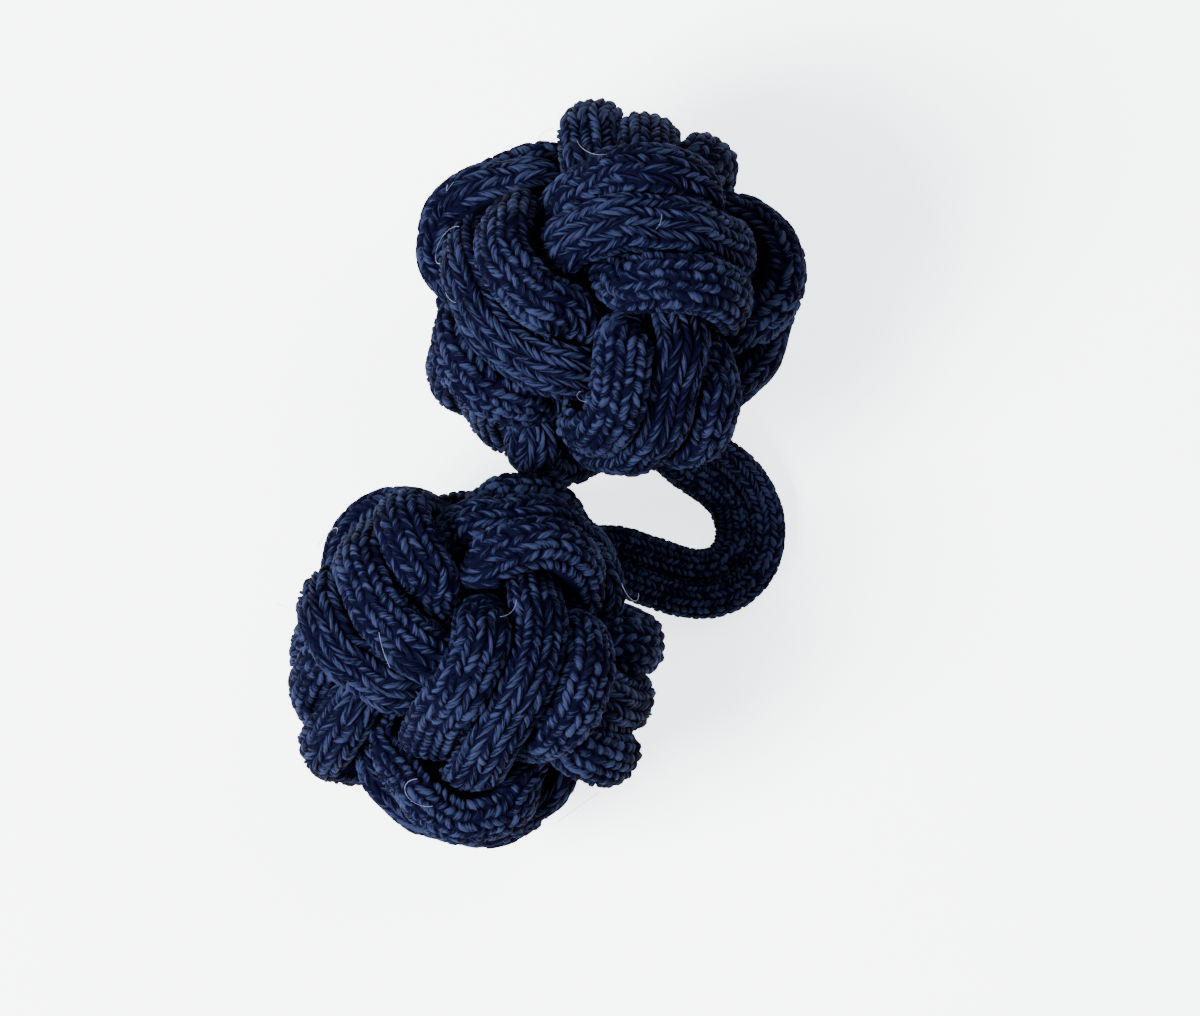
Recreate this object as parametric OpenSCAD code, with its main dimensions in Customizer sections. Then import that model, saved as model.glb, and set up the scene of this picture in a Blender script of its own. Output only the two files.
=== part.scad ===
// Silk knot cuff button: two woven cord knots joined by a short double cord.
// Each knot is one cord that runs three times round the same woven path, so
// that every band of the weave shows three cords side by side. The path has
// four turns round each pole of the knot and eight crossings, and it passes
// over and under by turns. The two cords of the link leave each knot through
// the open pole, its mouth. Millimetres, +Z up, lying on the plane Z = 0.

/* [Cord] */
// width of the cord where it lies in a knot
cord_w = 1.5; // [1:0.02:2.2]
// height of the cord, as a share of its width
cord_flat = 0.72; // [0.5:0.01:0.75]
// how much the cord is squeezed where it passes under another
cord_squeeze = 0.25; // [0:0.01:0.35]
// clear space between neighbouring cords
cord_clear = 0.08; // [0.07:0.01:0.3]

/* [Weave] */
// radius of the ball on which the cords cross, in steps from cord to cord
ball_share = 3.1; // [3:0.02:4]
// how far a cord rises over and dips under at the crossings, in steps
weave_share = 0.54; // [0.5:0.01:0.65]
// latitude that the bands swing out to, in degrees
swing = 43.8; // [43:0.2:44.6]

/* [Link] */
// thickness of each of the two link cords
link_d = 1.2; // [0.8:0.02:1.3]
// clear space between the two link cords
link_gap = 0.06; // [0.04:0.01:0.2]
// how far the slack of the link reaches out to the side of the pair
link_slack = 5; // [4.5:0.1:7.5]
// half the width of the turn that the slack makes on the table
link_bow = 2.1; // [1.8:0.1:3]

/* [Pose] */
// clear space between the round outlines of the two knots
knot_gap = 0.1; // [0.05:0.05:4]
// direction from the back knot to the front knot, in degrees from +X
pair_turn = 249.9; // [240:0.1:260]

/* [Hidden] */
cord_colour = [0.07, 0.09, 0.19];
link_colour = [0.06, 0.08, 0.17];

// one step from the middle of a cord to the middle of its neighbour
step = cord_w + cord_clear;
cord_h = cord_w * cord_flat;

// where each knot's closed pole points: compass angle, height, own turn
back_pole = [119.6, 33.7, 80.1];
front_pole = [-136.4, 34.4, 14.3];

// the cord changes from one lane of the band to the next under a crossing
seam = 33.75;
seam_half = 11;
turns = 3;

rings = 318;
sides = 8;
link_rings = 36;
link_sides = 12;

function unit(v) = v / norm(v);
function ease(x) = let (c = min(1, max(0, x))) c * c * (3 - 2 * c);

// point of the middle lane on a ball of radius 1, at path angle t
function lat(t) = swing * cos(4 * t) + 6 * cos(12 * t);
function lon(t) = 3 * t + 13.8 * sin(8 * t) + 1.9 * sin(16 * t);
function ball_point(t) =
    let (a = lat(t), b = lon(t))
    [cos(a) * cos(b), cos(a) * sin(b), sin(a)];

// lane at path angle u: -1 on the first turn, 0 on the next, +1 on the last
function lane(u) =
    let (a = ease((u - seam - 360 + seam_half) / (2 * seam_half)),
         b = ease((u - seam - 720 + seam_half) / (2 * seam_half)))
    a + b - 1 + 0.48 * (b * (1 - b) - a * (1 - a));

// distance from the middle of the knot, in steps: over at the crossings where
// sin(8 u) is positive and under where it is negative
function reach(u, s) =
    ball_share + (weave_share + 0.07 * s * s) * sin(8 * u) + 0.03 * s * s
    + 0.18 * cos(16 * u) + 0.03 * sin(16 * u)
    + s * (0.06 * cos(4 * u) - 0.11 * sin(4 * u));

function cord_middle(u) =
    let (s = lane(u),
         p = ball_point(u),
         ahead = unit(ball_point(u + 0.05) - ball_point(u - 0.05)),
         side = cross(p, ahead),
         r = reach(u, s),
         a = asin(s / r))
    step * r * (cos(a) * p + sin(a) * side);

// one section of the cord: an oval that lies flat on the knot
function cord_section(u) =
    let (c = cord_middle(u),
         ahead = unit(cord_middle(u + 0.2) - cord_middle(u - 0.2)),
         side = unit(cross(c, ahead)),
         up = cross(ahead, side),
         h = cord_h * (1 + cord_squeeze * sin(8 * u)))
    [for (k = [0 : sides - 1])
        let (a = 360 * (k + 0.5) / sides)
        c + side * (cord_w / 2 * cos(a)) + up * (h / 2 * sin(a))];

// triangles of a tube of n rings with m points each, closed by its two ends
function tube_faces(n, m) = concat(
    [[for (k = [0 : m - 1]) k]],
    [for (i = [0 : n - 2]) for (k = [0 : m - 1])
        [i * m + k, (i + 1) * m + k, (i + 1) * m + (k + 1) % m]],
    [for (i = [0 : n - 2]) for (k = [0 : m - 1])
        [i * m + k, (i + 1) * m + (k + 1) % m, i * m + (k + 1) % m]],
    [[for (k = [m - 1 : -1 : 0]) (n - 1) * m + k]]);

first_u = seam + seam_half;
last_u = seam + 360 * turns - seam_half;
knot_points = [for (i = [0 : rings - 1])
    each cord_section(first_u + (last_u - first_u) * i / (rings - 1))];
knot_faces = tube_faces(rings, sides);
knot_r = max([for (p = knot_points) norm(p)]);

// the knot's frame turned so that its closed pole points where pole says
function turned(p, pole) =
    let (x = p.x * cos(pole[2]) - p.y * sin(pole[2]),
         y = p.x * sin(pole[2]) + p.y * cos(pole[2]),
         t = 90 - pole[1],
         x2 = x * cos(t) + p.z * sin(t),
         z2 = p.z * cos(t) - x * sin(t))
    [x2 * cos(pole[0]) - y * sin(pole[0]), x2 * sin(pole[0]) + y * cos(pole[0]), z2];

back_raw = [for (p = knot_points) turned(p, back_pole)];
front_raw = [for (p = knot_points) turned(p, front_pole)];

// each knot stands on the plane with its lowest cord
pair_way = [cos(pair_turn), sin(pair_turn), 0];
pair_side = [-pair_way.y, pair_way.x, 0];
back_z = -min([for (p = back_raw) p.z]);
front_z = -min([for (p = front_raw) p.z]);
front_shift = pair_way * (2 * knot_r + knot_gap);

// the middle of the whole cuff button's box stands over the origin
all_x = concat([for (p = back_raw) p.x], [for (p = front_raw) p.x + front_shift.x]);
all_y = concat([for (p = back_raw) p.y], [for (p = front_raw) p.y + front_shift.y]);
home = [-(min(all_x) + max(all_x)) / 2, -(min(all_y) + max(all_y)) / 2, 0];
back_at = home + [0, 0, back_z];
front_at = home + front_shift + [0, 0, front_z];

// the link: out of the mouth of the back knot, down to the table, round and up
// into the mouth of the front knot
back_mouth = turned([0, 0, -1], back_pole);
front_mouth = turned([0, 0, -1], front_pole);
link_z = link_d / 2;
leave = back_at + back_mouth * knot_r * 0.86;
enter = front_at + front_mouth * knot_r * 0.86;

// the slack lies on the table beside the knots and turns there
slack_mid = [(leave.x + enter.x) / 2, (leave.y + enter.y) / 2, link_z] - pair_way * link_d / 4;
slack_down = slack_mid + pair_side * link_slack * 0.73 - pair_way * link_bow;
slack_turn = slack_mid + pair_side * link_slack * 0.99;
slack_up = slack_mid + pair_side * link_slack * 0.75 + pair_way * link_bow;
link_pins = [
    leave - back_mouth * knot_r * 0.75,
    leave - back_mouth * knot_r * 0.5,
    leave - back_mouth * knot_r * 0.25,
    leave,
    leave + back_mouth * link_slack * 0.23,
    slack_down,
    slack_turn,
    slack_up,
    enter + front_mouth * link_slack * 0.42,
    enter,
    enter - front_mouth * knot_r * 0.3,
    enter - front_mouth * knot_r * 0.6
];
link_spans = len(link_pins) - 3;

// smooth curve that is drawn towards the pins; q runs from 0 to 1
function link_route(q) =
    let (v = min(max(q, 0), 1) * link_spans,
         i = min(link_spans - 1, floor(v)),
         t = v - i)
    (link_pins[i] * pow(1 - t, 3)
     + link_pins[i + 1] * (3 * t * t * t - 6 * t * t + 4)
     + link_pins[i + 2] * (-3 * t * t * t + 3 * t * t + 3 * t + 1)
     + link_pins[i + 3] * t * t * t) / 6;

function link_section(q, hand) =
    let (c = link_route(q),
         ahead = unit(link_route(q + 0.002) - link_route(q - 0.002)),
         side = unit(cross(ahead, [0, 0, 1])),
         up = cross(ahead, side),
         m = c + side * (hand * (link_d + link_gap) / 2))
    [for (k = [0 : link_sides - 1])
        let (a = 360 * (k + 0.5) / link_sides)
        m + side * (link_d / 2 * cos(a)) + up * (link_d / 2 * sin(a))];

module link_cord(hand) {
    polyhedron(
        points = [for (i = [0 : link_rings - 1])
            each link_section(i / (link_rings - 1), hand)],
        faces = tube_faces(link_rings, link_sides));
}

module knot_back() {
    color(cord_colour)
        polyhedron(points = [for (p = back_raw) p + back_at], faces = knot_faces);
}

module knot_front() {
    color(cord_colour)
        polyhedron(points = [for (p = front_raw) p + front_at], faces = knot_faces);
}

module link_cord_inner() {
    color(link_colour) link_cord(-1);
}

module link_cord_outer() {
    color(link_colour) link_cord(1);
}

knot_back();
knot_front();
link_cord_inner();
link_cord_outer();
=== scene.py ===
# %% [markdown]
# # A silk knot cuff button
#
# The object is two balls of braided cord with a short double cord between them.
# Each ball is one cord that runs three times round the same woven path. The solid
# model gives the places and sizes, and this script gives the looks: the cord swells
# until its turns press together, and every stitch of its braid is modelled.

# %% Load the solid model
import math

import bpy
import numpy as np
from mathutils import Matrix, Vector


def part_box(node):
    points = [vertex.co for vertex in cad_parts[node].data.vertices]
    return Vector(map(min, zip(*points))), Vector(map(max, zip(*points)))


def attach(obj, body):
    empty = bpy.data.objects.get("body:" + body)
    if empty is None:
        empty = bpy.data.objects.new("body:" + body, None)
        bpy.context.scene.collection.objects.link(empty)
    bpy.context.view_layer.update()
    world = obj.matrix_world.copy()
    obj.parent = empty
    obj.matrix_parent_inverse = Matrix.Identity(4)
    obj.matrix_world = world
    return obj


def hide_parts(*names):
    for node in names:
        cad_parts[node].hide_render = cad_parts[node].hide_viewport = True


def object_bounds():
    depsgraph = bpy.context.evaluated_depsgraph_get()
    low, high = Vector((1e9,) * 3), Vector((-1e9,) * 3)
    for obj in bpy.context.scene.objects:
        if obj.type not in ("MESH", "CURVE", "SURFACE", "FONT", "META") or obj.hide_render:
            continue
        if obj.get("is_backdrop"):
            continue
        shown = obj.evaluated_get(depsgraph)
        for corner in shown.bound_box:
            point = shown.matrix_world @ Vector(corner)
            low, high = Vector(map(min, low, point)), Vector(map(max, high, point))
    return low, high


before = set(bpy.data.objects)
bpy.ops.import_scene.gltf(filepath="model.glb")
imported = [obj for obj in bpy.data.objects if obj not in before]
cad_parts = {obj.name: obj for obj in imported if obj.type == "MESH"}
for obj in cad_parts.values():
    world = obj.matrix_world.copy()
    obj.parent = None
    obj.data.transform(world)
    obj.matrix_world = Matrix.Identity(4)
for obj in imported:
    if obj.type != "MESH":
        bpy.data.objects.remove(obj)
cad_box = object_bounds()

MM = 0.001
KNOTS = ("knot_back", "knot_front")
LINKS = ("link_cord_inner", "link_cord_outer")
for node in KNOTS + LINKS:
    low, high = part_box(node)
    print(node, "box in mm", [round(v / MM, 2) for v in (*low, *high)])

# %% [markdown]
# ## The woven path
#
# The knot is a Turk's head: its path goes three times round the pole while it swings
# four times from one pole to the other, and it crosses over and under by turns. It
# could be drawn by hand with control points, but a formula keeps its symmetry. Here
# latitude and longitude are short sums of sines, and the reach from the middle of
# the ball rises over a crossing and dips under the next. Three lanes side by side
# make the band of three cords. Lengths are in steps from one cord to the next.

# %% Three lanes of the woven path
LANES = (-1, 0, 1)


def unit(vectors):
    return vectors / np.linalg.norm(vectors, axis=-1, keepdims=True)


def on_ball(t):
    """Point of the middle lane on a ball of radius 1, at the path angle t."""
    lat = 0.78 * np.cos(4 * t) - 0.01 * np.sin(4 * t) + 0.09 * np.cos(12 * t)
    lon = 3 * t + 0.16 * np.sin(8 * t) - 0.05 * np.cos(8 * t)
    return np.stack([np.cos(lat) * np.cos(lon), np.cos(lat) * np.sin(lon), np.sin(lat)], -1)


def woven(t, lane):
    """Middle of the cord in a lane: over where sin(8 t) is positive, else under."""
    out = on_ball(t)
    ahead = unit(on_ball(t + 0.001) - on_ball(t - 0.001))
    reach = 3.16 + (0.38 + 0.48 * lane**2) * np.sin(8 * t) - 0.07 * np.cos(8 * t)
    reach += lane * (0.05 * np.cos(4 * t) - 0.16 * np.sin(4 * t)) - 0.37 * lane**2
    aside = lane * 0.96 * (1 + 0.02 * np.cos(8 * t) - 0.05 * np.sin(8 * t)) / 3.16
    aside = aside[:, None]
    return reach[:, None] * (out * np.cos(aside) + np.cross(out, ahead) * np.sin(aside))


ROUND = 120  # points of each lane while it is pulled tight
angles = np.arange(ROUND) / ROUND * 2 * np.pi
lanes = np.stack([woven(angles, lane) for lane in LANES])
print("three lanes of", ROUND, "points, reach", np.linalg.norm(lanes, axis=2).max().round(2))

# %% [markdown]
# ## Pulling the knot tight
#
# A real knot is pulled tight until each cord presses on its neighbours, and no
# formula gives that shape. It could be a rigid body or cloth simulation, but a short
# relaxation is steadier and always gives the same result. Every step shrinks the
# knot a little, evens out and smooths the cord, and then pushes apart whatever lies
# closer than the cord's own thickness. A cord is squeezed flat where it passes
# under, so closeness is measured with the height stretched to match.

# %% Pull it tight
CORD = 0.93  # width of the cord, in steps
FLAT = 0.7  # its mean height as a share of its width
SQUEEZE = 0.25  # how much flatter it is under a crossing, and fuller over one
TIGHTEN = 400  # steps
LOOK_AGAIN = 25  # steps between two searches for close pairs
PUSHES = 4  # rounds of pushes in a step
SMOOTHING = 0.12


def height_at(t):
    return CORD * FLAT * (1 + SQUEEZE * np.sin(8 * t))


def close_pairs(points, reach, apart):
    """Pairs of points nearer than reach that aren't neighbours along one lane."""
    count = points.shape[1]
    flat = points.reshape(-1, 3)
    near = ((flat[:, None] - flat[None]) ** 2).sum(-1) < reach**2
    first, second = np.nonzero(np.triu(near, 1))
    along = np.abs(first - second)
    along = np.minimum(along, count - along)
    keep = (first // count != second // count) | (along > apart)
    return first[keep], second[keep]


def even_out(points):
    """Moves neighbours along each closed lane towards one spacing."""
    ahead = np.roll(points, -1, 1) - points
    length = np.linalg.norm(ahead, axis=2, keepdims=True)
    move = ahead * (length - length.mean(1, keepdims=True)) / length * 0.25
    return points + move - np.roll(move, 1, 1)


def push_apart(flat, first, second, stretch, wanted):
    """One round of pushes between points that are closer than wanted."""
    between = flat[second] - flat[first]
    out = unit(flat[first] + flat[second])
    rise = (between * out).sum(1)
    level = between - rise[:, None] * out
    gap = np.sqrt((level**2).sum(1) + (stretch * rise) ** 2)
    tight = gap < wanted
    a, b = first[tight], second[tight]
    slope = (level + (stretch**2 * rise)[:, None] * out)[tight] / gap[tight, None]
    push = slope * ((wanted - gap[tight]) / (slope**2).sum(1) * 0.5)[:, None]
    count = len(flat)
    times = np.bincount(a, minlength=count) + np.bincount(b, minlength=count)
    total = [np.bincount(b, p, count) - np.bincount(a, p, count) for p in push.T]
    return flat + np.stack(total, 1) / np.maximum(times, 1)[:, None] * 1.4


heights = np.tile(height_at(angles), len(LANES))
for turn in range(TIGHTEN):
    done = turn / TIGHTEN
    if turn % LOOK_AGAIN == 0:
        spacing = np.linalg.norm(np.roll(lanes, -1, 1) - lanes, axis=2).mean()
        pairs = close_pairs(lanes, 1.7 * CORD, math.ceil(1.6 * CORD / spacing))
        stretch = 2 * CORD / (heights[pairs[0]] + heights[pairs[1]])
    lanes = lanes * (1 - (0.004 if done < 0.8 else 0.0008))
    lanes = even_out(even_out(lanes))
    lanes += SMOOTHING * (0.5 * (np.roll(lanes, 1, 1) + np.roll(lanes, -1, 1)) - lanes)
    flat_points = lanes.reshape(-1, 3)
    for _ in range(PUSHES):
        wanted = CORD * min(1.0, 0.95 + 0.08 * done)
        flat_points = push_apart(flat_points, *pairs, stretch, wanted)
    lanes = flat_points.reshape(lanes.shape)
HIGHEST = 60  # points that the knot is measured over
tops = np.linalg.norm(lanes, axis=2).ravel() + heights / 2
ball = np.sort(tops)[-HIGHEST:].mean()
print("the tight knot is", round(2 * ball / CORD, 2), "cords across")

# %% [markdown]
# ## One cord out of three lanes
#
# The real thing is one cord, which moves over by one lane each time it comes round.
# It does so where it passes under another band, near the mouth, so it doesn't show.
# Blending from one lane to the next there is enough. Each lane is a closed curve, so
# its fine points come from its Fourier series, which is smooth everywhere.

# %% The whole cord at its real size
SEAM = math.radians(33.75)  # path angle where the cord moves over by a lane
SEAM_HALF = math.radians(11)  # half the stretch that it takes for that
FINE = 1600  # points of each lane afterwards
KNOT_ACROSS = 13.1 * MM  # from side to side, over the tops of the cords


def refined(closed, count):
    """A closed curve's points at a finer spacing."""
    waves = np.fft.rfft(closed, axis=0)
    full = np.zeros((count // 2 + 1, 3), complex)
    full[: len(waves)] = waves
    return np.fft.irfft(full, count, axis=0) * count / len(closed)


def ease(x):
    x = np.clip(x, 0, 1)
    return x * x * (3 - 2 * x)


def lane_of(u):
    """-1 on the first time round, 0 on the next and 1 on the last."""
    once, twice = (ease((u - SEAM - k * 2 * np.pi + SEAM_HALF) / (2 * SEAM_HALF)) for k in (1, 2))
    return once + twice - 1


scale = KNOT_ACROSS / (2 * ball)
fine_lanes = [refined(lane, FINE) for lane in lanes]
whole = np.arange(SEAM + SEAM_HALF, SEAM + 6 * np.pi - SEAM_HALF, 2 * np.pi / FINE)
place = lane_of(whole)
cord_middle = np.zeros((len(whole), 3))
turned = (whole / (2 * np.pi) * FINE) % FINE
for lane, points in zip(LANES, fine_lanes):
    share = np.clip(1 - np.abs(place - lane), 0, 1)[:, None]
    there = np.stack([np.interp(turned, np.arange(FINE + 1), np.r_[c, c[:1]]) for c in points.T], 1)
    cord_middle += share * there
cord_middle *= scale
cord_height = height_at(whole) * scale
CORD_W = CORD * scale
cord_length = np.linalg.norm(np.diff(cord_middle, axis=0), axis=1).sum()
print("cord", round(CORD_W / MM, 2), "mm wide and", round(cord_length / MM), "mm long")

# %% [markdown]
# ## Where each knot lies
#
# The solid model turns each knot so that its closed pole points a given way, which
# three angles say: compass angle, height and the knot's own turn. Repeating those
# angles and reading the node's box gives the new knot the same place and turn. Its
# tight cord still runs a little beside the solid one, which keeps clear space.

# %% Turn and place the knots
POLES = {"knot_back": (119.6, 33.7, 80.1), "knot_front": (-136.4, 34.4, 14.3)}


def knot_turn(compass, height, own):
    """The rotation from the knot's own frame to its place."""
    steps = ((compass, "Z"), (90 - height, "Y"), (own, "Z"))
    turns = [Matrix.Rotation(math.radians(angle), 3, axis) for angle, axis in steps]
    return np.array(turns[0] @ turns[1] @ turns[2])


def knot_centre(node):
    """Middle of the knot: the solid's box is nearly round about it."""
    low, high = (np.array(corner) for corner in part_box(node))
    return (low + high) / 2


centres = {node: knot_centre(node) for node in KNOTS}
for node in KNOTS:
    print(node, "middle in mm", (centres[node] / MM).round(2))

# %% [markdown]
# ## The braid
#
# The cord is a round braid. What shows of it, all the way round, is fourteen columns
# of short floats, and each float is a bundle of fine filaments that slants one way in
# its own column and the other way in the next, and ducks under its neighbours at
# both ends. It could be a bump in a material, but the outline would then be smooth,
# and the photo's outline is knobbly. So each float is a small arched pad of its own
# on a plain core. Pads that face the middle of the ball are left out.

# %% A line to braid along
SQUARE = 0.82  # 1 is an oval, less is squarer, as where cords press on each other


def squarish(x):
    return np.sign(x) * np.abs(x) ** SQUARE


class Line:
    """A cord's middle with its sideways and upward directions and half sizes."""

    def __init__(self, middle, out, half_wide, half_high):
        ahead = unit(np.gradient(middle, axis=0))
        up = unit(out - (out * ahead).sum(1, keepdims=True) * ahead)
        side = np.cross(ahead, up)
        steps = np.linalg.norm(np.diff(middle, axis=0), axis=1)
        self.along = np.r_[0, np.cumsum(steps)]
        self.length = self.along[-1]
        self.rows = np.column_stack([middle, side, up, half_wide, half_high])
        self.angles = np.linspace(0, 2 * np.pi, 721)
        level = half_wide.mean() * squarish(np.cos(self.angles))
        rise = half_high.mean() * squarish(np.sin(self.angles))
        walked = np.r_[0, np.cumsum(np.hypot(np.diff(level), np.diff(rise)))]
        self.round = walked[-1]
        self.turns = walked / self.round

    def at(self, along):
        """Middle, side, up, half width and half height at any distance along."""
        found = [np.interp(along, self.along, column) for column in self.rows.T]
        found = np.stack(found, -1)
        return found[..., :3], found[..., 3:6], found[..., 6:9], found[..., 9], found[..., 10]

    def surface(self, along, turn, proud):
        """Points proud of the surface; turn is a share of the way round the cord."""
        middle, side, up, wide, high = self.at(along)
        angle = np.interp(turn % 1.0, self.turns, self.angles)
        across = ((wide + proud) * squarish(np.cos(angle)))[..., None] * side
        return middle + across + ((high + proud) * squarish(np.sin(angle)))[..., None] * up


# %% The shape of one float
COLUMNS = 14  # round the cord
PITCH = 0.33 * MM  # from one float to the next in a column
SLANT = 48  # degrees between a float and the cord's axis
SLANT_SWING = 15  # how much the slant changes along the cord
RISE = 0.085 * MM  # of a float's crown over the braid's mean surface
ARCH = 0.15 * MM  # how far its long edges fall away
ALONG_CUTS = 6  # points along a float
ACROSS_CUTS = 4  # and over it

lengthways, crossways = np.meshgrid(
    np.linspace(-1, 1, ALONG_CUTS), np.linspace(-1, 1, ACROSS_CUTS), indexing="ij"
)
taper = np.cos(lengthways * np.pi / 2).clip(0) ** 0.75 * 0.94 + 0.06
crown = RISE * (1 - 2.0 * np.abs(lengthways) ** 2.2) - ARCH * np.abs(crossways) ** 2
# Painted light: 1 on a float's crown, which gets a painted highlight, falling to 0 at its edges,
# which get painted shade.
open_share = (1 - np.abs(lengthways) ** 2) * (1 - np.abs(crossways) ** 2)
pad_corner = np.arange(ALONG_CUTS - 1)[:, None] * ACROSS_CUTS + np.arange(ACROSS_CUTS - 1)
pad_faces = np.stack(
    [pad_corner, pad_corner + ACROSS_CUTS, pad_corner + ACROSS_CUTS + 1, pad_corner + 1], -1
).reshape(-1, 4)
print("each float has", len(pad_faces), "faces")


# %% Lay the floats along a line
def floats(line, first, last, seed, centre=None, fine=1.0):
    """Points, fibre places and tones of the floats between two distances."""
    rng = np.random.default_rng(seed)
    pitch = PITCH * fine
    count = int((last - first) / pitch)
    spot = first + (np.arange(count) + 0.5) * pitch
    column = np.tile(np.arange(COLUMNS), count)
    spot = np.repeat(spot, COLUMNS) + (column % 2) * pitch / 2
    hand = np.where(column % 2 == 0, 1.0, -1.0)
    turn = (column + 0.5) / COLUMNS + 0.045 * np.sin(spot / (9 * MM) + seed)
    if centre is not None:
        middle = line.at(spot)[0]
        out = unit(line.surface(spot, turn, RISE) - middle)
        facing = (out * unit(middle - centre)).sum(1)
        seen = facing > -0.3
        spot, hand, turn = spot[seen], hand[seen], turn[seen]
    total = len(spot)
    wide, high = (rng.normal(1.0, spread, total)[:, None, None] for spread in (0.15, 0.2))
    slide = rng.normal(0, 0.13 * pitch, total)[:, None, None]
    slant = SLANT + SLANT_SWING * np.sin(spot / (5.3 * MM) + 2 * seed) + rng.normal(0, 8, total)
    slant = np.radians(slant)[:, None, None]
    across = np.tile(lengthways * line.round / COLUMNS * 0.65, (total, 1, 1))
    curl = rng.normal(0.05, 0.03, total)[:, None, None] * pitch * 2.3 * (1 - lengthways**2)
    bend = hand[:, None, None] * (across / np.tan(slant) + curl)
    along = spot[:, None, None] + slide + bend
    along = along + crossways * taper * wide * pitch * 0.67
    round_by = turn[:, None, None] + across / line.round
    points = line.surface(along, round_by, crown * high * fine)
    fibre = np.broadcast_arrays(across / np.sin(slant), crossways * taper * pitch * 0.5)
    tone = np.clip(rng.normal(0.5, 0.26, total), 0, 1)
    return points.reshape(total, -1, 3), np.stack(fibre, -1).reshape(total, -1, 2), tone


# %% The core under the floats
CORE_SIDES = 16
CORE_RING = 0.3 * MM  # from one ring of points to the next
CORE_SUNK = 0.07 * MM  # under the braid's mean surface


def core(line, first, last, fine):
    """Points and faces of the plain tube under the floats."""
    rings = max(2, int((last - first) / CORE_RING))
    along = np.linspace(first, last, rings)[:, None]
    turn = np.arange(CORE_SIDES)[None] / CORE_SIDES
    along, turn = np.broadcast_arrays(along, turn)
    points = line.surface(along, turn, -CORE_SUNK * fine).reshape(-1, 3)
    ring = np.arange(rings - 1)[:, None] * CORE_SIDES
    k = np.arange(CORE_SIDES)
    after = (k + 1) % CORE_SIDES
    faces = np.stack([ring + k, ring + CORE_SIDES + k, ring + CORE_SIDES + after, ring + after], -1)
    return points, faces.reshape(-1, 4)


# %% [markdown]
# ## From numbers to a mesh
#
# Thousands of floats are too slow to make one by one, so their corners are worked
# out together and handed to the mesh in bulk. Two UV maps go along: one in real
# size, which the filaments are drawn with, and one that gives each float its own
# cell of a square, so that a bake has room for all of them.

# %% Build one braided piece
def fill_mesh(mesh, points, faces):
    """Writes points and four-cornered faces to an empty mesh."""
    mesh.vertices.add(len(points))
    mesh.vertices.foreach_set("co", np.asarray(points, np.float32).ravel())
    mesh.loops.add(4 * len(faces))
    mesh.loops.foreach_set("vertex_index", np.asarray(faces, np.int32).ravel())
    mesh.polygons.add(len(faces))
    mesh.polygons.foreach_set("loop_start", np.arange(len(faces), dtype=np.int32) * 4)
    mesh.update(calc_edges=True)
    mesh.polygons.foreach_set("use_smooth", np.ones(len(faces), bool))


def corner_map(mesh, name, places, faces):
    layer = mesh.uv_layers.new(name=name)
    layer.uv.foreach_set("vector", np.asarray(places[faces.ravel()], np.float32).ravel())


def braided(name, line, first, last, seed, centre=None, fine=1.0):
    """A stretch of braided cord as one object: slot 0 the floats, slot 1 the core."""
    pads, fibre, tone = floats(line, first, last, seed, centre, fine)
    total, corners, _ = pads.shape
    core_points, core_faces = core(line, first, last, fine)
    faces = (pad_faces[None] + (np.arange(total) * corners)[:, None, None]).reshape(-1, 4)
    points = np.concatenate([pads.reshape(-1, 3), core_points])
    all_faces = np.concatenate([faces, core_faces + total * corners])
    mesh = bpy.data.meshes.new(name)
    fill_mesh(mesh, points, all_faces)
    cells = math.ceil(math.sqrt(total * 1.04))
    cell = np.stack([np.arange(total) % cells, np.arange(total) // cells], -1)[:, None]
    within = np.stack([lengthways, crossways], -1).reshape(1, -1, 2) * 0.46 + 0.5
    bake = ((cell + within) / cells).reshape(-1, 2)
    edge = np.linspace(0.002, 0.998, len(core_points))
    core_bake = np.stack([edge, 0.985 + 0.01 * (np.arange(len(core_points)) % 2)], -1)
    corner_map(mesh, "OFBake", np.concatenate([bake, core_bake]), all_faces)
    shift = np.random.default_rng(seed + 1).uniform(0, 40, (total, 1, 2))
    places = np.concatenate([(fibre / MM + shift).reshape(-1, 2), core_points[:, :2] / MM])
    corner_map(mesh, "fibre", places, all_faces)
    rest = np.zeros(len(core_points))
    tones = np.concatenate([np.repeat(tone, corners), rest])
    # tone is each float's own colour at random; the second attribute carries the painted crown
    # highlight and edge shade.
    opens = np.concatenate([np.tile(open_share.ravel(), total), rest])
    for key, values in (("tone", tones), ("open", opens)):
        layer = mesh.attributes.new(key, "FLOAT", "POINT")
        layer.data.foreach_set("value", values.astype(np.float32))
    slots = np.zeros(len(all_faces), np.int32)
    slots[len(faces):] = 1
    mesh.polygons.foreach_set("material_index", slots)
    made = bpy.data.objects.new(name, mesh)
    bpy.context.scene.collection.objects.link(made)
    print(name, total, "floats,", 2 * len(all_faces), "triangles")
    return made


# %% Braid both knots
PARTS = 3  # objects for each knot's cord
SWELL = {"knot_back": 1.02, "knot_front": 0.99}  # the photo's knots aren't quite the same size
knot_pieces = []
for number, node in enumerate(KNOTS):
    swell = SWELL[node]
    middle = cord_middle * swell @ knot_turn(*POLES[node]).T + centres[node]
    out = middle - centres[node]
    half_wide = np.full(len(middle), swell * CORD_W / 2 - 0.4 * RISE)
    half_high = swell * cord_height / 2 - RISE
    line = Line(middle, out, half_wide, half_high)
    bottom = middle[:, 2] - half_high - RISE
    drop = np.array([0, 0, -bottom.min()])
    line.rows[:, :3] += drop
    for part in range(PARTS):
        first, last = line.length * part / PARTS, line.length * (part + 1) / PARTS
        seed = 10 * number + part
        piece = braided(f"{node}_turn_{part + 1}", line, first, last, seed, centres[node] + drop)
        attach(piece, "root")
        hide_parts(node)
        knot_pieces.append(piece)
    print(node, "raised by", round(drop[2] / MM, 2), "mm to rest on the surface")

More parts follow.
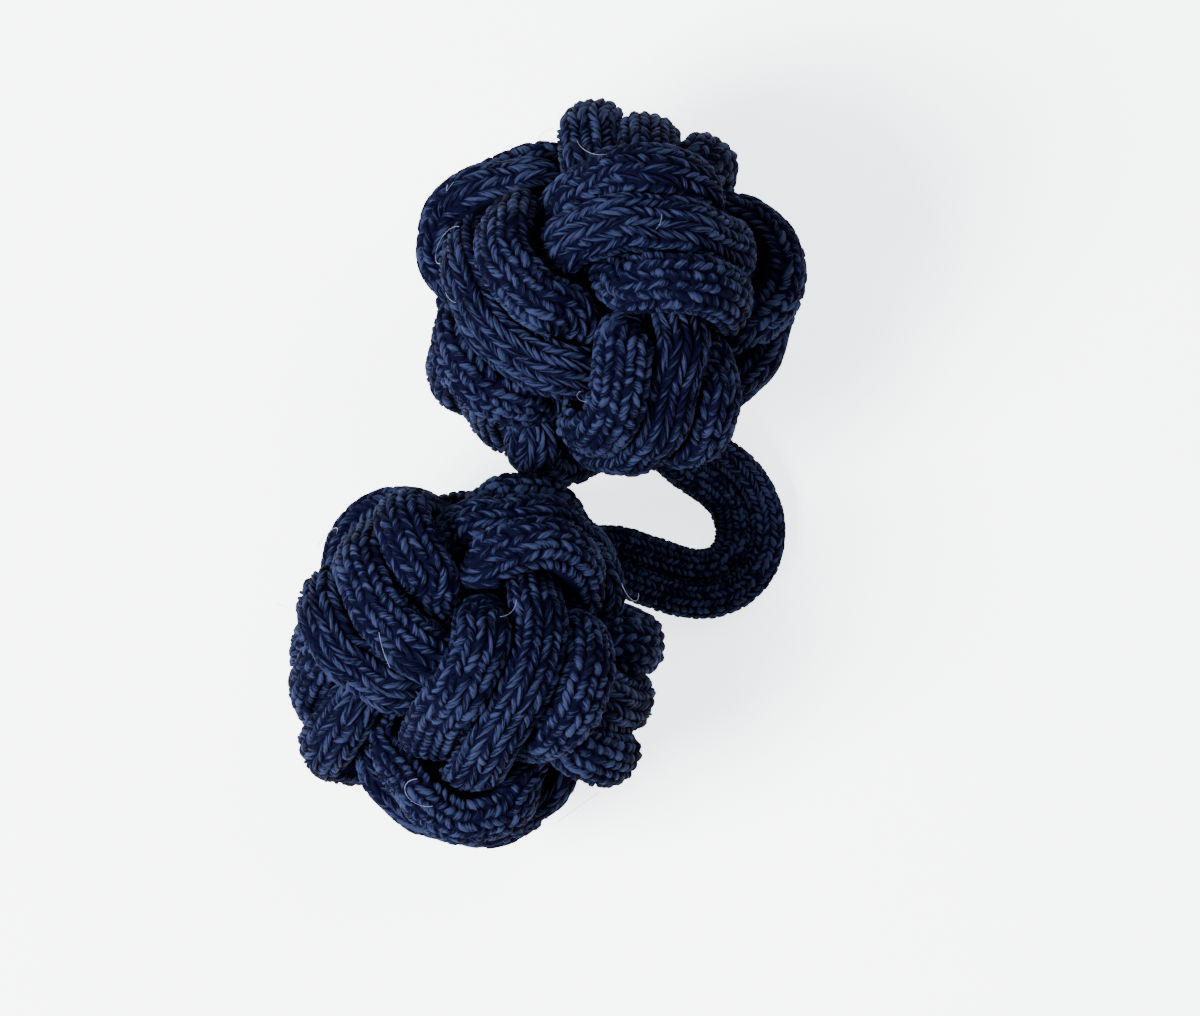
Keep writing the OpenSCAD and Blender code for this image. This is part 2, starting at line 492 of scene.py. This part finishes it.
# %% [markdown]
# ## The link
#
# The link's cords follow the solid model's curve: straight out of each mouth, down
# to the surface and round in one slack turn. The same few control points and a
# smooth curve through them give it, so the braid lies where the solid cords are.

# %% The link's route
LINK_D = 1.2 * MM  # thickness of one cord
LINK_SLACK = 5.0 * MM  # how far the turn reaches out to the side
LINK_BOW = 2.1 * MM  # half the width of that turn
MOUTH = 0.86  # where the mouth opens, as a share of the knot's radius
KNOT_R = 6.314 * MM  # of the solid knots, to their farthest point

mouths = {node: -knot_turn(*POLES[node])[:, 2] for node in KNOTS}
leave, enter = (centres[node] + mouths[node] * KNOT_R * MOUTH for node in KNOTS)
pair_way = unit((centres["knot_front"] - centres["knot_back"]) * (1, 1, 0))
pair_side = np.array([-pair_way[1], pair_way[0], 0])
slack_mid = (leave + enter) / 2 * (1, 1, 0) + (0, 0, LINK_D / 2) - pair_way * LINK_D / 4
inside_back = [leave - mouths["knot_back"] * KNOT_R * k for k in (0.75, 0.5, 0.25)]
inside_front = [enter - mouths["knot_front"] * KNOT_R * k for k in (0.3, 0.6)]
pins = np.array([
    *inside_back,
    leave,
    leave + mouths["knot_back"] * LINK_SLACK * 0.23,
    slack_mid + pair_side * LINK_SLACK * 0.73 - pair_way * LINK_BOW,
    slack_mid + pair_side * LINK_SLACK * 0.99,
    slack_mid + pair_side * LINK_SLACK * 0.75 + pair_way * LINK_BOW,
    enter + mouths["knot_front"] * LINK_SLACK * 0.42,
    enter,
    *inside_front,
])


def smooth_route(pins, count):
    """A curve that is drawn towards the pins: a uniform cubic B-spline."""
    place = np.linspace(0, len(pins) - 3, count, endpoint=False)
    first = place.astype(int)
    t = (place - first)[:, None]
    weights = ((1 - t) ** 3, 3 * t**3 - 6 * t**2 + 4, -3 * t**3 + 3 * t**2 + 3 * t + 1, t**3)
    return sum(w * pins[first + k] for k, w in enumerate(weights)) / 6


# %% Braid the link
LINK_FINE = 0.75  # its stitches against the knots'
LINK_APART = 0.97  # from middle to middle of the two cords, in thicknesses
route = smooth_route(pins, 400)
level_side = unit(np.cross(np.gradient(route, axis=0), (0, 0, 1)))
link_pieces = []
for number, (node, hand) in enumerate(zip(LINKS, (-1, 1))):
    middle = route + level_side * hand * LINK_D * LINK_APART / 2
    half = np.full(len(route), LINK_D / 2 - 0.4 * RISE * LINK_FINE)
    line = Line(middle, np.tile((0.0, 0.0, 1.0), (len(route), 1)), half, half)
    piece = braided(f"{node}_braid", line, 0, line.length, 40 + number, None, LINK_FINE)
    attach(piece, "root")
    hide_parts(node)
    link_pieces.append(piece)
print("outer link cord", round(line.length / MM, 1), "mm long")

# %% [markdown]
# ## Stray fibres
#
# A worn braid has a few loose filaments. A hair system would need a groom, so each
# is a thin tube that wanders over its knot and lifts off at its end.

# %% A few loose filaments
HAIR_R = 0.009 * MM
HAIR_CUTS = 14  # points along one
HAIR_SUNK = 0.15 * MM  # where it starts, under the highest cords
HAIRS = 7  # on each knot


def wander(centre, radius, seed):
    """The line of one loose filament over a ball."""
    rng = np.random.default_rng(seed)
    at = unit(rng.normal(0, 1, 3) * (1, 1, 0.6) + (0, 0, 0.7))
    ahead = unit(np.cross(at, rng.normal(0, 1, 3)))
    stride = rng.uniform(0.8, 2.6) * MM / radius / HAIR_CUTS
    curl = rng.uniform(-0.3, 0.3)
    lift = rng.uniform(0.05, 0.5) * MM
    points = []
    for k in range(HAIR_CUTS):
        points.append(centre + at * (radius + lift * (k / HAIR_CUTS) ** 2))
        ahead = unit(ahead + curl * np.cross(at, ahead))
        at = unit(at + ahead * stride)
        ahead = unit(ahead - at * (ahead @ at))
    return np.array(points)


def hairs(name, centre, radius, count, seed):
    """Several loose filaments as one object of three-sided tubes."""
    angle = np.arange(3) / 3 * 2 * np.pi
    rings, faces = [], []
    for k in range(count):
        line = wander(centre, radius, seed + k)
        ahead = unit(np.gradient(line, axis=0))
        side = unit(np.cross(ahead, line - centre))
        up = np.cross(side, ahead)
        ring = side[:, None] * np.cos(angle)[:, None] + up[:, None] * np.sin(angle)[:, None]
        rings.append((line[:, None] + HAIR_R * ring).reshape(-1, 3))
        base = 3 * HAIR_CUTS * k + 3 * np.arange(HAIR_CUTS - 1)[:, None]
        j, after = np.arange(3), (np.arange(3) + 1) % 3
        corners = [base + j, base + 3 + j, base + 3 + after, base + after]
        faces.append(np.stack(corners, -1).reshape(-1, 4))
    mesh = bpy.data.meshes.new(name)
    fill_mesh(mesh, np.concatenate(rings), np.concatenate(faces))
    made = bpy.data.objects.new(name, mesh)
    bpy.context.scene.collection.objects.link(made)
    return made


hair_pieces = []
for number, node in enumerate(KNOTS):
    radius = SWELL[node] * KNOT_ACROSS / 2 - HAIR_SUNK
    piece = hairs(f"{node}_hairs", centres[node], radius, HAIRS, 70 + 40 * number)
    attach(piece, "root")
    hair_pieces.append(piece)
print("loose filaments on", len(hair_pieces), "knots")

# %% [markdown]
# ## Materials
#
# The braid is spun from fine shiny filaments dyed navy, and the sheen on their crowns and the
# shade in their valleys are painted into its colour. Shader maths is easier to
# read as Python expressions, so a small class wraps a socket and adds the nodes.

# %% Shader expressions
class Value:
    """A number or vector in a material, so that maths on it reads as Python."""

    def __init__(self, finish, socket):
        self.finish = finish
        self.socket = socket

    def _math(self, operation, first, second):
        return self.finish.node("ShaderNodeMath", {"operation": operation}, {0: first, 1: second})

    def __add__(self, other):
        return self._math("ADD", self, other)

    def __sub__(self, other):
        return self._math("SUBTRACT", self, other)

    def __rsub__(self, other):
        return self._math("SUBTRACT", other, self)

    def __mul__(self, other):
        return self._math("MULTIPLY", self, other)

    __radd__ = __add__
    __rmul__ = __mul__


class Finish:
    """A material under construction, with one method that makes any node."""

    def __init__(self, name):
        self.material = bpy.data.materials.new(name)
        self.material.use_nodes = True
        self.tree = self.material.node_tree
        self.tree.nodes.clear()
        self.shader = self.tree.nodes.new("ShaderNodeBsdfPrincipled")
        output = self.tree.nodes.new("ShaderNodeOutputMaterial")
        self.tree.links.new(self.shader.outputs[0], output.inputs[0])

    def put(self, node, sockets):
        for key, value in sockets.items():
            if isinstance(value, Value):
                self.tree.links.new(value.socket, node.inputs[key])
            else:
                node.inputs[key].default_value = value

    def node(self, kind, settings, sockets, output=0):
        made = self.tree.nodes.new(kind)
        for key, value in settings.items():
            setattr(made, key, value)
        self.put(made, sockets)
        return Value(self, made.outputs[output])

    def mix(self, share, dark, light):
        """A colour between two others."""
        return self.node("ShaderNodeMix", {"data_type": "RGBA"}, {0: share, 6: dark, 7: light}, 2)


# %% The braid's finish
def braid_finish(name, dark, light):
    """Fine filaments along each float, painted shade in the valleys and a painted highlight on the
    crowns.
    """
    finish = Finish(name)
    fibre = finish.node("ShaderNodeUVMap", {"uv_map": "fibre"}, {})
    tone = finish.node("ShaderNodeAttribute", {"attribute_name": "tone"}, {}, 2)
    # The painted highlight on each crown and the painted shade at its edges.
    opened = finish.node("ShaderNodeAttribute", {"attribute_name": "open"}, {}, 2)
    place = finish.node("ShaderNodeTexCoord", {}, {}, 3)
    worn = finish.node("ShaderNodeTexNoise", {}, {"Vector": place, "Scale": 420.0, "Detail": 1.0})
    stretch = {"operation": "MULTIPLY"}
    fine = finish.node("ShaderNodeVectorMath", stretch, {0: fibre, 1: (2.6, 20.0, 1.0)})
    streak = finish.node(
        "ShaderNodeTexNoise", {"noise_dimensions": "2D"},
        {"Vector": fine, "Scale": 1.0, "Detail": 2.5, "Roughness": 0.65},
    )
    # Painted light and shade from the crowns, mixed with the filaments' and floats' own random
    # tone.
    painted_light_and_tone = opened + (streak - 0.5) * 2.6 + (tone - 0.5) * 0.8 + (worn - 0.5) * 1.1
    share = (painted_light_and_tone - 0.5) * 1.7
    base = finish.mix(share, dark, light)
    bump = finish.node(
        "ShaderNodeBump", {}, {"Strength": 1.0, "Distance": 0.045 * MM, "Height": streak}
    )
    finish.put(finish.shader, {
        "Base Color": base,
        "Roughness": 0.85 - streak * 0.2,
        "Normal": bump,
        "Specular IOR Level": 0.015,
        "Specular Tint": (0.3, 0.45, 1.0, 1.0),
    })
    return finish.material


def core_finish(name, colour):
    finish = Finish(name)
    place = finish.node("ShaderNodeTexCoord", {}, {}, 3)
    grain = finish.node("ShaderNodeTexNoise", {}, {"Vector": place, "Scale": 6000.0, "Detail": 2.0})
    finish.put(finish.shader, {
        "Base Color": finish.mix(grain, colour, tuple(2 * c for c in colour[:3]) + (1.0,)),
        "Roughness": 0.9,
        "Specular IOR Level": 0.0,
    })
    return finish.material


# The dark colour is painted shade in the valleys and the light one a painted highlight on the
# crowns; random tone and filaments also move between them.
knot_finish = braid_finish(
    "navy_braid", (0.0013, 0.0013, 0.0064, 1.0), (0.0134, 0.0176, 0.0444, 1.0)
)
link_finish = braid_finish(
    "navy_link_braid", (0.0012, 0.0012, 0.0058, 1.0), (0.0118, 0.0153, 0.0388, 1.0)
)
inner_finish = core_finish("navy_core", (0.0012, 0.0012, 0.0052, 1.0))
for outer, pieces in ((knot_finish, knot_pieces), (link_finish, link_pieces)):
    for piece in pieces:
        piece.data.materials.append(outer)
        piece.data.materials.append(inner_finish)
hair_finish = Finish("loose_filament")
hair_finish.put(hair_finish.shader, {"Base Color": (0.07, 0.09, 0.16, 1.0), "Roughness": 0.5})
for piece in hair_pieces:
    piece.data.materials.append(hair_finish.material)

# %% [markdown]
# ## Floor, light and camera

# %% Floor
def plain_floor():
    mesh = bpy.data.meshes.new("floor")
    half = 0.6
    corners = np.array([(-half, -half, 0), (half, -half, 0), (half, half, 0), (-half, half, 0)])
    fill_mesh(mesh, corners, np.array([[0, 1, 2, 3]]))
    floor = bpy.data.objects.new("floor", mesh)
    bpy.context.scene.collection.objects.link(floor)
    finish = Finish("pale_floor")
    finish.put(finish.shader, {
        "Base Color": (0.93, 0.93, 0.935, 1.0),
        "Roughness": 0.9,
        "Specular IOR Level": 0.1,
        "Emission Color": (0.88, 0.945, 1.0, 1.0),
        "Emission Strength": 2.75,
    })
    mesh.materials.append(finish.material)
    floor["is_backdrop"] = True
    return floor


plain_floor()

# %% Lights
pair_middle = Vector((centres["knot_back"] + centres["knot_front"]) / 2)


def softbox(name, place, size, power):
    """A square lamp at a place in mm from the pair's middle, facing it."""
    lamp = bpy.data.lights.new(name, "AREA")
    lamp.shape = "SQUARE"
    lamp.size = size * MM
    lamp.energy = power
    made = bpy.data.objects.new(name, lamp)
    made.location = pair_middle + Vector(place) * MM
    made.rotation_euler = (pair_middle - made.location).to_track_quat("-Z", "Y").to_euler()
    bpy.context.scene.collection.objects.link(made)


softbox("key_light", (-140, -70, 170), 100, 3.0)
softbox("fill_light", (140, 120, 170), 200, 0.7)
world = bpy.data.worlds.new("studio")
world.use_nodes = True
world.node_tree.nodes["Background"].inputs[0].default_value = (0.95, 0.96, 1.0, 1.0)
world.node_tree.nodes["Background"].inputs[1].default_value = 0.48
bpy.context.scene.world = world

# %% Camera
ELEVATION = math.radians(82)
PX_PER_MM = 30.0
FRAME_PX = (1200, 1016)
PAIR_PX = (537.5, 477.5)  # the middle between the two knots, in the photo's frame
FAR = 260 * MM

right = Vector((1, 0, 0))
back = Vector((0, -math.cos(ELEVATION), math.sin(ELEVATION)))
above = back.cross(right)
shift_x = (PAIR_PX[0] - FRAME_PX[0] / 2) / PX_PER_MM * MM
shift_y = (FRAME_PX[1] / 2 - PAIR_PX[1]) / PX_PER_MM * MM
aim = pair_middle - right * shift_x - above * shift_y
lens = bpy.data.cameras.new("camera")
lens.sensor_width = 36
lens.lens = 36 * (FAR / MM) * PX_PER_MM / FRAME_PX[0]
lens.clip_start = 0.001
lens.clip_end = 5
camera = bpy.data.objects.new("camera", lens)
facing = Matrix((right, above, back)).transposed().to_4x4()
camera.matrix_world = Matrix.Translation(aim + back * FAR) @ facing
bpy.context.scene.collection.objects.link(camera)
bpy.context.scene.camera = camera

boxes = [[list(corner) for corner in box] for box in (cad_box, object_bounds())]
print("boxes in mm", [[[round(v / MM, 2) for v in corner] for corner in box] for box in boxes])
